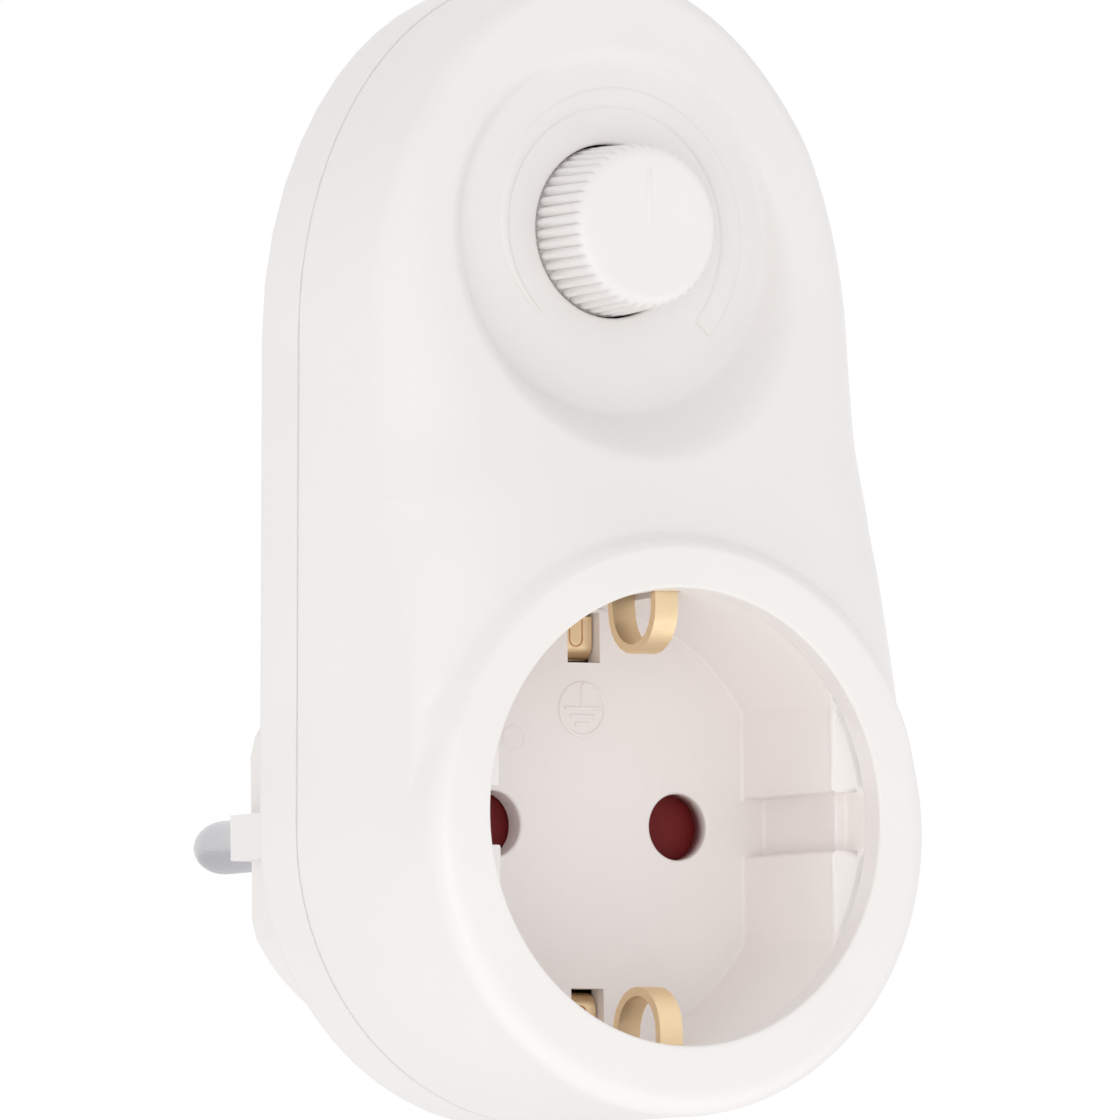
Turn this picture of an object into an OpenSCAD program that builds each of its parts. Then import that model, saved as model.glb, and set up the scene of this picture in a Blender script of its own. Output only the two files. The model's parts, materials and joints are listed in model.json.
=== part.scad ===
// Rotary plug-in dimmer: an earthed plug body behind, an earthed socket in front, a ribbed knob above it.
// Every piece is drawn lying on the plug face: x runs across, y runs up the face, and the height h runs
// forward from the plug face. stand() then turns it upright, so that the front looks along -Y.

/* [Housing] */
// Radius of the round foot of the outline
lower_r = 25.2; // [25:0.1:26.5]
// Drop of the foot's centre below the socket axis
lower_drop = 0.9; // [0.5:0.1:1.4]
// Half width of the elliptic top of the outline
upper_r = 24.5; // [24:0.1:25]
// Height of the elliptic top's centre above the socket axis
upper_up = 42; // [41.5:0.1:46]
// Rise of the elliptic top above its centre
upper_rise = 32.7; // [32:0.1:34]
// Depth from the collar's front to the rear wall
body_depth = 31; // [30.6:0.1:34]
// Depth of the rear tray, from the rear wall to the parting line
rear_depth = 7.2; // [6.8:0.1:8]
// Wall thickness of both shells
wall = 2; // [1.7:0.1:2.2]
// Mould draft of the front shell's sides
side_draft = 0.4; // [0.2:0.05:0.6]
// Rounding between the front face and the sides, beside the collar's widest place
foot_edge = 3; // [2.6:0.1:4]
// Rounding between the front face and the sides, where the face starts to sweep back
face_edge = 7.5; // [6.5:0.1:8.5]
// Rounding between the front face and the sides, at the top
top_edge = 1.6; // [1.2:0.1:2.4]
// Rounding between the rear wall and the sides
rear_edge_r = 1.5; // [0.8:0.1:1.9]
// Depth of the front face's top below the collar's front
top_depth = 11; // [10.6:0.1:11.1]
// Height at which the front face starts to sweep back
sweep_up = 25; // [24.5:0.1:27]
// Height that the collar stands out of the front face
collar_rise = 2.7; // [1.5:0.1:3.2]
// Inset of the collar's side from the foot of the outline
collar_inset = 0.3; // [0.2:0.05:0.7]
// Rounding of the collar's outer edge
collar_edge_r = 2; // [1:0.1:2.2]
// Rounding of the collar's inner edge
mouth_edge_r = 0.6; // [0.2:0.1:0.9]
// Radius of the screw bosses
boss_r = 3.3; // [3.2:0.1:3.6]

/* [Socket] */
// Radius of the recess at its mouth
recess_r = 19.75; // [19.5:0.05:20]
// Depth of the recess, from the collar's front to the floor
recess_depth = 16.8; // [16.5:0.1:17.5]
// Taper of the recess wall from mouth to floor, on the radius
recess_taper = 0.65; // [0.3:0.05:0.8]
// Distance of the side flats from the axis, at the floor
flat_x = 16.2; // [16:0.1:16.6]
// Width of the guide grooves in the flats
groove_w = 5.1; // [4.6:0.1:5.6]
// Distance of the groove floors from the axis
groove_x = 18.4; // [17.8:0.1:18.6]
// Length of the groove floors from the recess floor forward
groove_len = 11.6; // [9:0.1:13]
// Bevel of the flats' front edges
end_bevel = 0.4; // [0.2:0.1:0.8]
// Drop of the flats' front ends behind the insert's front
end_drop = 0.8; // [0.5:0.1:1.2]
// Depth of the front shell's lip in front of the insert
lip_depth = 2.2; // [1.6:0.1:2.6]
// Distance between the two poles
pole_gap = 19; // [18.8:0.1:19.2]
// Radius of the pole holes
hole_r = 2.9; // [2.7:0.05:3.1]
// Thickness of the recess floor
floor_t = 2; // [1.6:0.1:2.2]
// Wall of the insert at its mouth
cup_wall = 1.9; // [1.8:0.05:2.1]

/* [Earthing] */
// Thickness of the earth strips
strip_t = 0.8; // [0.6:0.05:0.9]
// Width of the earth strips
strip_w = 2.9; // [2.5:0.1:3.1]
// Width of the sprung bows
bow_w = 2.3; // [2:0.1:2.5]
// Distance of the bows' inner crowns from the axis
bow_up = 14.4; // [14:0.1:15]
// Distance of the bows' middle in front of the recess floor
bow_ahead = 9.9; // [9.5:0.1:10]
// Half length of a bow in depth
bow_half = 3.9; // [3.5:0.1:4]
// Distance of the floor slots' inner edges from the axis
slot_up = 14.2; // [14:0.1:14.4]
// Depth of the earth plates' tongues below the recess floor
tongue_sink = 1; // [0.8:0.1:1.2]

/* [Plug] */
// Radius of the plug body
plug_r = 18; // [17.8:0.1:18.3]
// Length of the plug body behind the rear wall
plug_len = 16.8; // [16:0.1:17.5]
// Distance of the plug's side flats from the axis
plug_flat_x = 15.6; // [15.4:0.1:15.9]
// Reach of the guide ribs from the axis
rib_x = 18.2; // [17.5:0.1:18.4]
// Width of the guide ribs
rib_w = 4; // [3.4:0.1:4.4]
// Wall of the plug body
plug_wall = 1.8; // [1.5:0.1:1.9]
// Thickness of the plug's face
plug_face_t = 2.6; // [2.2:0.1:3]
// Bevel round the plug's face
plug_bevel = 0.8; // [0.4:0.1:1]
// Radius of the plug pins
pin_r = 2.4; // [2.35:0.01:2.45]
// Free length of the plug pins
pin_len = 19; // [18.5:0.1:19.2]
// Length of the pins' rounded tips
pin_tip = 4; // [2.4:0.1:6]

/* [Knob] */
// Height of the knob's axis above the socket axis
knob_up = 51.5; // [51:0.1:53]
// Radius of the knob at its foot
knob_r = 7.45; // [7.2:0.05:8]
// Narrowing of the knob from the foot to its cap, on the radius
knob_taper = 0.35; // [0.1:0.05:0.6]
// Height of the knob above the dish floor
knob_rise = 6.3; // [5.5:0.1:7]
// Rounding of the knob's cap
cap_edge_r = 0.9; // [0.6:0.1:1.2]
// Number of ribs round the knob
knob_ribs = 45; // [36:1:48]
// Depth of the grooves between the ribs
rib_cut = 0.65; // [0.4:0.05:0.75]
// Radius of the dish floor
dish_r = 15.5; // [15:0.1:15.8]
// Drop of the dish's centre below the knob's axis
dish_drop = 0.5; // [0:0.1:0.8]
// Depth of the dish floor below the collar's front
dish_depth = 11.4; // [11.3:0.1:11.7]
// Outward flare of the dish wall, per millimetre of depth
dish_flare = 0.6; // [0.4:0.05:0.7]
// Radius of the potentiometer's shaft
shaft_r = 3; // [2.8:0.1:3.2]
// Radius of the potentiometer's housing
pot_r = 8; // [7.5:0.1:8.3]

/* [Shutter] */
// Thickness of the child-safety shutter
shutter_t = 2; // [1.6:0.1:2.2]
// Reach of the shutter's wings
wing_r = 13.6; // [13:0.1:13.8]
// Half angle of a wing
wing_half = 20; // [19:0.5:21]
// Radius of the shutter's pivot
pivot_r = 1.5; // [1.3:0.1:1.7]
// Wire diameter of the shutter's spring
spring_wire = 0.5; // [0.4:0.05:0.6]
// Turns of the shutter's spring
spring_turns = 3; // [2:1:3]

/* [Board] */
// Thickness of the circuit board
board_t = 1.6; // [1.4:0.1:1.8]
// Half width of the circuit board
board_x = 18.5; // [18:0.1:18.6]
// Depth for the parts behind the circuit board
board_room = 6.6; // [6.4:0.1:6.8]
// Radius of a fuse cap
fuse_r = 2.6; // [2.5:0.05:2.7]
// Length of the fuse
fuse_len = 20; // [18:0.5:20]
// Radius of the choke's ferrite rod
core_r = 2.2; // [1.8:0.1:2.3]
// Length of the choke's ferrite rod
core_len = 20; // [18:0.5:20.5]
// Radius of the leads over their insulation
lead_r = 0.8; // [0.6:0.05:0.85]

/* [Fits] */
// Gap between fixed pieces that slip together
slip = 0.1; // [0.05:0.01:0.12]
// Gap between pieces that turn in each other, on the radius
running = 0.05; // [0.03:0.01:0.08]
// Gap round the knob and in front of the shutter
turn_gap = 0.3; // [0.25:0.05:0.35]
// Gap round parts that only have to clear each other
clear = 0.3; // [0.2:0.05:0.35]

/* [Hidden] */
$fn = 96;
over = 1;

// Heights above the plug face
rear_h = plug_len;
tray_h = rear_h + wall;
part_h = rear_h + rear_depth;
collar_h = rear_h + body_depth;
floor_h = collar_h - recess_depth;
face_h = collar_h - collar_rise;
lip_h = collar_h - lip_depth;
dish_h = collar_h - dish_depth;
top_h = collar_h - top_depth;
board_h = tray_h + board_room;
board_top = board_h + board_t;

// Collar, insert, shutter and contact carrier
collar_r = lower_r - collar_inset;
insert_r = recess_r + cup_wall;
tower_wall = 1.4;
tower_r = insert_r + slip + tower_wall;
insert_h = lip_h - slip;
recess_floor_r = recess_r - recess_taper;
skirt_wall = 1.7;
skirt_r = insert_r - skirt_wall;
floor_back = floor_h - floor_t;
lead_gate_x = 13;
lead_gate_h = floor_back - 1.5;
shutter_top = floor_back - turn_gap;
shutter_bottom = shutter_top - shutter_t;
carrier_top = shutter_bottom - 1.3;
pole_x = pole_gap / 2;
carrier_r = pole_x + hole_r + 1.1;
flange_t = 1.6;
flange_top = tray_h + flange_t;
hub_r = pivot_r + 2;
spring_pocket = 2.6;
spring_r = pivot_r + 1;

// Contacts and pins
tulip_r = pin_r + slip;
tulip_wall = 0.6;
tulip_floor = 0.7;
tulip_slit = 0.8;
tulip_base = floor_h - pin_len - 1;
pocket_r = tulip_r + tulip_wall + clear;
pin_head_t = 1.2;
neck_r = pin_r - 0.2;
neck_len = 0.4;
pin_tail_r = pin_r - 0.4;
lug_h = 7;
lug_t = 0.8;
lug_w = 1.6;
solder = 0.6;

// Earthing: the strips run up the plug's sides, behind the floor and behind the cup wall
strip_up = plug_r - plug_wall + strip_t / 2 + 2 * slip;
slot_w = strip_w + 4 * slip;
channel_up = insert_r - strip_t - 0.65;
bow_root = channel_up + slip + strip_t / 2;
bow_h = min(floor_h + bow_ahead, insert_h - bow_half - 2 * clear);
bow_arc_r = bow_half - strip_t / 2;
plate_top = floor_back - slip;
plate_low = slot_up + clear;
slot_end = recess_floor_r - 0.5;
tongue_end = slot_end - clear;
tongue_h = floor_h - tongue_sink;

// Housing screws
top_up = upper_up + upper_rise;
screw_x = upper_r - wall - boss_r - 0.2;
screw_up = tower_r + boss_r + 1.6;
screw_places = [[0, top_up - wall - boss_r], [-screw_x, screw_up], [screw_x, screw_up]];
screw_head_r = 2.4;
screw_head_t = 2;
screw_shank_r = 1.4;
screw_seat = rear_h + 3;
screw_tip = part_h + 6;

// Knob and potentiometer
cap_r = knob_r - knob_taper;
knob_foot = dish_h - wall + 4 * slip;
knob_top = dish_h + knob_rise;
knob_roof = 1.6;
knob_wall = 1.3;
knob_hub_r = shaft_r + 1.5;
shaft_top = knob_top - knob_roof - 2 * slip;
shaft_flat = 0.5 * shaft_r;
pot_top = dish_h - wall - 1.4;
pot_block_x = 11;
pot_block_y = 3;
pot_block_t = 2;
wiper_r = shaft_r + 1.4;
wiper_low = board_top + 1;
wiper_top = pot_top - 2.4;
leg_r = 0.3;
terminal_gap = 3.8;
terminal_up = knob_up - pot_r - pot_block_y - 1.2;

// Circuit board and its posts
board_inset = wall + 1.6;
board_low = screw_up + boss_r + 0.4;
board_high = screw_places[0][1] - boss_r - 1.6;
post_r = 2.4;
post_x = 13.5;
board_screw_r = 0.95;
board_head_r = 2;
board_head_t = 1.3;
low_post = [pot_block_x / 2 + board_head_r + clear, board_low + post_r + clear];
post_places = [[-post_x, board_high - 5], [post_x, board_high - 5], low_post];

// Parts behind the board, set out from its lower and upper edge
diac_r = 0.95;
fuse_wall = 0.7;
fuse_cap_len = 5;
fuse_cap_t = 0.2;
clip_w = 3.6;
fuse_up = board_high - 4.2;
fuse_axis = board_h - fuse_r - 0.6;
wind_t = 0.75;
wind_pitch = 1.1;
wind_r = core_r + wind_t;
core_at = [low_post[0] + post_r + clear + wind_r, board_low + 1 + core_len / 2];
core_axis = tray_h + board_room / 2;
triac_x = 10;
triac_y = 9;
tab_y = 6.2;
tab_t = 1.3;
sink_t = 1.4;
sink_room = 3.6;
triac_at = [sink_room + sink_t + clear + triac_x / 2 + wall - upper_r, board_low + 11];
sink_x = 12.2;
sink_low = triac_at[1] - triac_y / 2 - 3;
sink_high = fuse_up - fuse_r - fuse_wall - 2 * diac_r - 4 * clear;
sink_y = sink_high - sink_low;
sink_h = tray_h + clear;
film_x = 8.6;
film_y = 15;
timing_x = 5;
timing_y = 7.2;
timing_left = triac_at[0] + triac_x / 2 + 2 * clear;
film_at = [timing_left + timing_x + 2 * clear + film_x / 2, low_post[1] + post_r + clear + film_y / 2];
timing_at = [timing_left + timing_x / 2, film_at[1] - 0.8];
resistor_r = 0.95;
resistor_len = 3.6;
resistor_rows = [timing_at[1] + timing_y / 2 + 1.9, timing_at[1] + timing_y / 2 + 4.8];
resistor_places = [[film_at[0], film_at[1] + film_y / 2 + 1.9],
    [timing_at[0], resistor_rows[0]], [timing_at[0], resistor_rows[1]]];
diac_len = 4;
diac_at = [-9.2, sink_high + 2 * clear + diac_r];

// Leads: from the pin's lug and from the line contact's tab to the board
line_from = [-pole_x + 0.9, carrier_r - 1.1];
load_from = [-pole_x, 0];
load_to = [-3.9, carrier_r + 1.5];
load_h = carrier_top - 4;
lead_bend = tray_h + 1.2 + lead_r;
board_ends = [[-9, board_low + 2.2], [-4.4, board_low + 2.2]];

// Outline of the housing as spokes: each is a rim point and the angle of its normal, [x, up, angle]
arc_steps = 14;
side_steps = 16;
lean = atan((lower_r - upper_r) / (upper_up + lower_drop));
function foot_spoke(a) = [lower_r * cos(a), lower_r * sin(a) - lower_drop, a];
function top_spoke(a) = let (reach = norm([upper_r * cos(a), upper_rise * sin(a)]))
    [pow(upper_r, 2) * cos(a) / reach, upper_up + pow(upper_rise, 2) * sin(a) / reach, a];
function mix(p, q, t) = p + (q - p) * t;
right_spokes = concat(
    [for (k = [0 : arc_steps]) foot_spoke(-90 + (90 + lean) * k / arc_steps)],
    [for (k = [1 : side_steps - 1]) mix(foot_spoke(lean), top_spoke(lean), k / side_steps)],
    [for (k = [0 : arc_steps]) top_spoke(lean + (90 - lean) * k / arc_steps)]);
left_spokes = [for (k = [len(right_spokes) - 2 : -1 : 1])
    [-right_spokes[k][0], right_spokes[k][1], 180 - right_spokes[k][2]]];
spokes = concat(right_spokes, left_spokes);

// Height of the front face: level beside the collar, then sweeping back to the top
sweep_soft = 1.5;
function limit(t) = max(0, min(1, t));
function soft_min(a, b, k) = let (t = limit(0.5 + (b - a) / (2 * k))) b + (a - b) * t - k * t * (1 - t);
function swept(up) = top_h + (face_h - top_h) * pow(max(0, top_up - up) / (top_up - sweep_up), 2);
function crown(up) = soft_min(face_h, swept(up), sweep_soft);

// Rounding of the face's edge, widest above the collar and tighter towards the foot and the top
edge_foot = sweep_up - 14;
edge_from = sweep_up + 8;
edge_to = knob_up + 8.5;
least_edge = 0.3;
function edge_at(up) = mix(face_edge, top_edge, limit((up - edge_from) / (edge_to - edge_from)))
    - (face_edge - foot_edge) * limit((sweep_up - up) / (sweep_up - edge_foot));
function rim(s, inset) = [s[0] - inset * cos(s[2]), s[1] - inset * sin(s[2])];
function flat_ring(inset, h) = [for (s = spokes) concat(rim(s, inset), h)];
function edge_ring(inset, t) = [for (s = spokes)
    let (edge = max(least_edge, edge_at(s[1]) - inset), p = rim(s, inset + side_draft + edge * (1 - cos(t))))
    concat(p, crown(p[1]) - inset - edge * (1 - sin(t)))];

// Arc from a to b degrees about a centre, for profiles
function arc(c, r, a, b, steps = 8) =
    [for (k = [0 : steps]) let (t = a + (b - a) * k / steps) c + r * [cos(t), sin(t)]];

// Smooth curve through hand-chosen points
function spline_at(a, b, c, d, t) = 0.5 * (2 * b + (c - a) * t + (2 * a - 5 * b + 4 * c - d) * pow(t, 2)
    + (3 * b - a - 3 * c + d) * pow(t, 3));
function spline(p, steps = 4) = concat(
    [for (i = [0 : len(p) - 2], k = [0 : steps - 1])
        spline_at(p[max(0, i - 1)], p[i], p[i + 1], p[min(len(p) - 1, i + 2)], k / steps)],
    [p[len(p) - 1]]);

function unit(v) = v / norm(v);
function tangent(p, i) = unit(p[min(len(p) - 1, i + 1)] - p[max(0, i - 1)]);
function tube_ring(p, i, r, sides, side) =
    let (t = tangent(p, i), u = unit(cross(t, side)), w = cross(t, u))
    [for (k = [0 : sides - 1]) let (a = -360 * k / sides) p[i] + r * (cos(a) * u + sin(a) * w)];

// Both edges of a strip of even thickness along a flat path
function strip_side(p, i) = let (t = tangent(p, i)) [-t[1], t[0]];
function strip_outline(p, t) = concat(
    [for (i = [0 : len(p) - 1]) p[i] + strip_side(p, i) * t / 2],
    [for (i = [len(p) - 1 : -1 : 0]) p[i] - strip_side(p, i) * t / 2]);

module stand() rotate([90, 0, 0]) children();
module both_poles() for (s = [-1, 1]) translate([s * pole_x, 0, 0]) children();
module both_ends() for (m = [0, 1]) mirror([0, m, 0]) children();
module rod(r, low, high) translate([0, 0, low]) cylinder(r = r, h = high - low);
module block(x, y, low, high) translate([-x / 2, -y / 2, low]) cube([x, y, high - low]);
module slab(low, high) translate(low) cube(high - low);

// Skin over rings that share the left-right symmetry of the outline
module skin(rings) {
    n = len(rings[0]);
    last = (len(rings) - 1) * n;
    sides = [for (j = [0 : len(rings) - 2], i = [0 : n - 1])
        let (a = j * n + i, b = j * n + (i + 1) % n) each [[a, a + n, b + n], [a, b + n, b]]];
    strip = [for (i = [0 : n / 2 - 1]) let (k = n - i - 1, j = (n - i) % n)
        each concat(k == i + 1 ? [] : [[i, i + 1, k]], j == i ? [] : [[i, k, j]])];
    lid = [for (f = strip) [f[0] + last, f[2] + last, f[1] + last]];
    polyhedron([for (r = rings) each r], concat(sides, strip, lid), convexity = 6);
}

// Tube along a path, closed at both ends
module tube(path, r, sides, side) {
    n = sides;
    last = (len(path) - 1) * n;
    walls = [for (j = [0 : len(path) - 2], i = [0 : n - 1])
        let (a = j * n + i, b = j * n + (i + 1) % n) each [[a, b + n, a + n], [a, b, b + n]]];
    ends = [for (i = [1 : n - 2]) each [[0, i + 1, i], [last, last + i, last + i + 1]]];
    rings = [for (i = [0 : len(path) - 1]) each tube_ring(path, i, r, sides, side)];
    polyhedron(rings, concat(walls, ends), convexity = 6);
}

// Crowned face with its rounded edge, from a base height forward
module crowned(inset, base) {
    steps = 8;
    rounding = [for (k = [0 : steps]) edge_ring(inset, 90 * k / steps)];
    skin(concat([flat_ring(inset + slip, base)], rounding));
}

module dish(grow, top) {
    rise = top - dish_h + grow;
    translate([0, knob_up - dish_drop, dish_h - grow])
        cylinder(r1 = dish_r + grow, r2 = dish_r + grow + dish_flare * rise, h = rise);
}

// Collar whose foot widens out of the face's rounding
module collar() {
    root_h = face_h - foot_edge;
    sink = 0.8;
    foot = [[0, root_h - 4 * sink], [collar_r - sink, root_h - 4 * sink], [collar_r, root_h + 2 * sink]];
    edge = arc([collar_r - collar_edge_r, collar_h - collar_edge_r], collar_edge_r, 0, 90);
    translate([0, -lower_drop, 0]) rotate_extrude() polygon(concat(foot, edge, [[0, collar_h]]));
}

// Hollow of the front shell above the socket, round the dish and the screw bosses
module front_hollow() {
    solid_up = 0.6 * tower_r;
    difference() {
        crowned(wall, part_h - over);
        rod(tower_r, part_h - 2 * over, collar_h);
        dish(wall, collar_h + over);
        for (p = screw_places) translate(p) rod(boss_r, part_h - 2 * over, collar_h);
        slab([-lower_r, -2 * lower_r, part_h - 2 * over], [lower_r, solid_up, collar_h]);
    }
}

module recess_mouth() {
    flare = arc([recess_r + mouth_edge_r, collar_h - mouth_edge_r], mouth_edge_r, 180, 90, 5);
    rotate_extrude() polygon(concat([[0, lip_h - over], [recess_r, lip_h - over]], flare,
        [[recess_r + mouth_edge_r, collar_h + over], [0, collar_h + over]]));
}

module front_shell() color("white") stand() difference() {
    union() {
        crowned(0, part_h);
        collar();
    }
    front_hollow();
    rod(insert_r + slip, part_h - over, lip_h);
    recess_mouth();
    dish(0, collar_h + over);
    translate([0, knob_up, 0]) rod(knob_r + turn_gap, part_h, collar_h);
    for (p = screw_places) translate(p) rod(screw_shank_r + running, part_h - over, screw_tip + clear);
}

module plug_outline(inset) intersection() {
    circle(r = plug_r - inset);
    square([2 * (plug_flat_x - inset), 2 * plug_r], center = true);
}

// Plug body with bevelled face, and the guide ribs on its flats
module plug_body() {
    wide = plug_r + plug_bevel;
    root = plug_flat_x - plug_wall / 2;
    intersection() {
        linear_extrude(tray_h) plug_outline(0);
        rotate_extrude()
            polygon([[0, 0], [plug_r - plug_bevel, 0], [wide, 2 * plug_bevel], [wide, tray_h], [0, tray_h]]);
    }
    for (a = [0, 180]) rotate([0, 0, a]) translate([0, rib_w / 2, 0]) rotate([90, 0, 0]) linear_extrude(rib_w)
        polygon([[root, 0], [rib_x - plug_bevel, 0], [rib_x, plug_bevel], [rib_x, tray_h], [root, tray_h]]);
}

module tray() {
    steps = 5;
    edge = [for (k = [0 : steps]) let (t = 90 * k / steps)
        flat_ring(rear_edge_r * (1 - sin(t)), rear_h + rear_edge_r * (1 - cos(t)))];
    difference() {
        skin(concat(edge, [flat_ring(0, part_h)]));
        skin([flat_ring(wall, tray_h), flat_ring(wall, part_h + over)]);
    }
}

// Lip that reaches into the front shell above the socket
module tongue() {
    thick = 0.9;
    inset = wall + slip + side_draft / 2;
    difference() {
        skin([flat_ring(inset, tray_h), flat_ring(inset, part_h + 1.2)]);
        skin([flat_ring(inset + thick, tray_h - over), flat_ring(inset + thick, part_h + 2 * over)]);
        slab([-lower_r, -2 * lower_r, 0], [lower_r, tower_r, collar_h]);
        for (p = screw_places) translate(p) rod(boss_r + slip, part_h, collar_h);
    }
}

module rear_shell() color("white") stand() difference() {
    union() {
        tray();
        tongue();
        plug_body();
        for (p = screw_places) translate(p) rod(boss_r, tray_h - wall / 2, part_h);
        for (p = post_places) translate(p) rod(post_r, tray_h - wall / 2, board_h);
    }
    translate([0, 0, plug_face_t]) linear_extrude(tray_h) plug_outline(plug_wall);
    both_poles() rod(neck_r + running, -over, plug_face_t + over);
    both_ends() {
        slab([-slot_w / 2, strip_up - plug_wall, plug_face_t], [slot_w / 2, plug_r + over, rear_h]);
        slab([-slot_w / 2, strip_up - plug_wall, rear_h - over],
            [slot_w / 2, strip_up + strip_t / 2 + slip, tray_h + over]);
    }
    for (p = screw_places) translate(p) {
        rod(screw_head_r + clear, rear_h - over, screw_seat);
        rod(screw_shank_r + clear, rear_h, part_h + over);
    }
    for (p = post_places) translate(p) rod(board_screw_r + running, tray_h + 1, board_h + over);
}

// Room inside the cup: the tapered circle between the drafted flats, and the guide grooves
module recess_room() {
    high = insert_h + over;
    wide = 2 * recess_r;
    end_h = insert_h - end_drop;
    end_x = flat_x + recess_taper * (end_h - floor_h) / recess_depth;
    bevel = [[end_x, end_h - end_bevel], [end_x + end_bevel, end_h]];
    flat = concat([[flat_x, floor_h]], bevel, [[wide, end_h], [wide, high]]);
    top_r = recess_floor_r + recess_taper * (high - floor_h) / recess_depth;
    intersection() {
        translate([0, 0, floor_h]) cylinder(r1 = recess_floor_r, r2 = top_r, h = high - floor_h);
        union() {
            rotate([90, 0, 0]) linear_extrude(2 * wide, center = true)
                polygon(concat(flat, [for (k = [len(flat) - 1 : -1 : 0]) [-flat[k][0], flat[k][1]]]));
            block(3 * recess_r, groove_w, floor_h + groove_len, high);
            block(2 * groove_x, groove_w, floor_h, high);
        }
    }
}

// Slot through the floor, channel behind the cup wall and window for the bow
module earth_channel() {
    outside = insert_r + over;
    half = slot_w / 2;
    window = bow_half + clear;
    slab([-half, slot_up, floor_back - over], [half, slot_end, floor_h + over]);
    slab([-half, slot_up, tray_h - over], [half, outside, floor_back]);
    slab([-half, channel_up, tray_h - over], [half, outside, bow_h + window]);
    slab([-bow_w / 2 - clear, slot_up, bow_h - window], [bow_w / 2 + clear, outside, bow_h + window]);
}

module socket_insert() color("linen") stand() difference() {
    rod(insert_r, tray_h, insert_h);
    recess_room();
    rod(skirt_r, tray_h - over, floor_back);
    both_poles() rod(hole_r, floor_back - over, floor_h + over);
    both_ends() earth_channel();
    slab([-lead_gate_x, insert_r / 2, tray_h - over], [slot_w, 2 * insert_r, lead_gate_h]);
}

module wing_plan() {
    reach = 2 * wing_r * [cos(wing_half), sin(wing_half)];
    intersection() {
        circle(r = wing_r);
        polygon([[0, 0], [reach[0], -reach[1]], reach]);
    }
}

module child_shutter() color("maroon") stand() difference() {
    union() {
        rod(hub_r, shutter_bottom, shutter_top);
        translate([0, 0, shutter_bottom]) linear_extrude(shutter_t) for (a = [0, 180]) rotate(a) wing_plan();
    }
    rod(pivot_r + running, shutter_bottom - over, shutter_top + over);
}

module shutter_spring() {
    low = carrier_top - spring_pocket + spring_wire;
    rise = 2 * spring_wire;
    rings = 14 * spring_turns;
    path = [for (k = [0 : rings]) let (turn = spring_turns * k / rings)
        [spring_r * cos(360 * turn), spring_r * sin(360 * turn), low + rise * turn]];
    color("silver") stand() tube(path, spring_wire / 2, 6, [0, 0, 1]);
}

// Tab from the line contact's tulip towards its lead
module load_tab(grow) {
    way = load_to - load_from;
    translate(load_from) rotate([0, 0, atan2(way[1], way[0])])
        slab([tulip_r, -lug_w / 2 - grow, load_h - grow],
            [norm(way) - solder + 4 * grow, lug_w / 2 + grow, load_h + lug_t + grow]);
}

// Lug from the line pin's tail towards its lead
module line_lug(grow) translate([-pole_x, 0, 0]) {
    half = lug_w / 2 + grow;
    end = line_from[1] - lead_r - slip + 4 * grow;
    slab([-half, 0, lug_h - grow], [half, end, lug_h + lug_t + grow]);
}

module contact_carrier() color("ivory") stand() difference() {
    union() {
        rod(carrier_r, plug_face_t, carrier_top);
        rod(skirt_r - slip, tray_h, flange_top);
        rod(pivot_r, carrier_top - spring_pocket, shutter_top);
    }
    for (s = [-1, 1]) translate([s * (plug_flat_x - plug_wall - slip + carrier_r), 0, 0])
        block(2 * carrier_r, 4 * carrier_r, 0, tray_h);
    both_poles() rod(pocket_r, plug_face_t - over, carrier_top + over);
    difference() {
        rod(hub_r, carrier_top - spring_pocket, carrier_top + over);
        rod(pivot_r, 0, collar_h);
    }
    both_ends() slab([-slot_w / 2, carrier_r, tray_h - over], [slot_w / 2, insert_r, flange_top + over]);
    slab([line_from[0] - lead_r - clear, carrier_r, tray_h - over], [0, insert_r, flange_top + over]);
    translate(line_from)
        block(2 * (lead_r + clear), 2 * (lead_r + 2 * clear), tray_h - over, flange_top + over);
    load_tab(clear);
    line_lug(clear);
}

module tulip() difference() {
    rod(tulip_r + tulip_wall, tulip_base, carrier_top);
    rod(tulip_r, tulip_base + tulip_floor, carrier_top + over);
    block(tulip_slit, 4 * pin_r, tulip_base + 3, carrier_top + over);
}

module line_contact() color("goldenrod") stand() difference() {
    union() {
        translate([-pole_x, 0, 0]) tulip();
        load_tab(0);
    }
    translate([-pole_x, 0, 0]) rod(tulip_r, load_h - over, carrier_top + over);
}

module neutral_contact() color("goldenrod") stand() translate([pole_x, 0, 0]) tulip();

// Pin with a rounded tip, a neck moulded into the plug face, a head behind it and a tail of the given height
module plug_pin(tail) {
    head_r = pocket_r - clear / 2;
    head_top = plug_face_t + pin_head_t;
    tip = [for (k = [0 : 8]) let (t = 90 * k / 8) [pin_r * sin(t), -pin_len + pin_tip * (1 - cos(t))]];
    neck = [[pin_r, -neck_len], [neck_r, -neck_len], [neck_r, plug_face_t], [head_r, plug_face_t]];
    rotate_extrude() polygon(concat(tip, neck,
        [[head_r, head_top], [pin_tail_r, head_top], [pin_tail_r, tail], [0, tail]]));
}

module plug_pin_line() color("gainsboro") stand() {
    translate([-pole_x, 0, 0]) plug_pin(lug_h + lug_t);
    line_lug(0);
}

module plug_pin_neutral() color("gainsboro") stand() translate([pole_x, 0, 0]) plug_pin(tulip_base);

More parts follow.
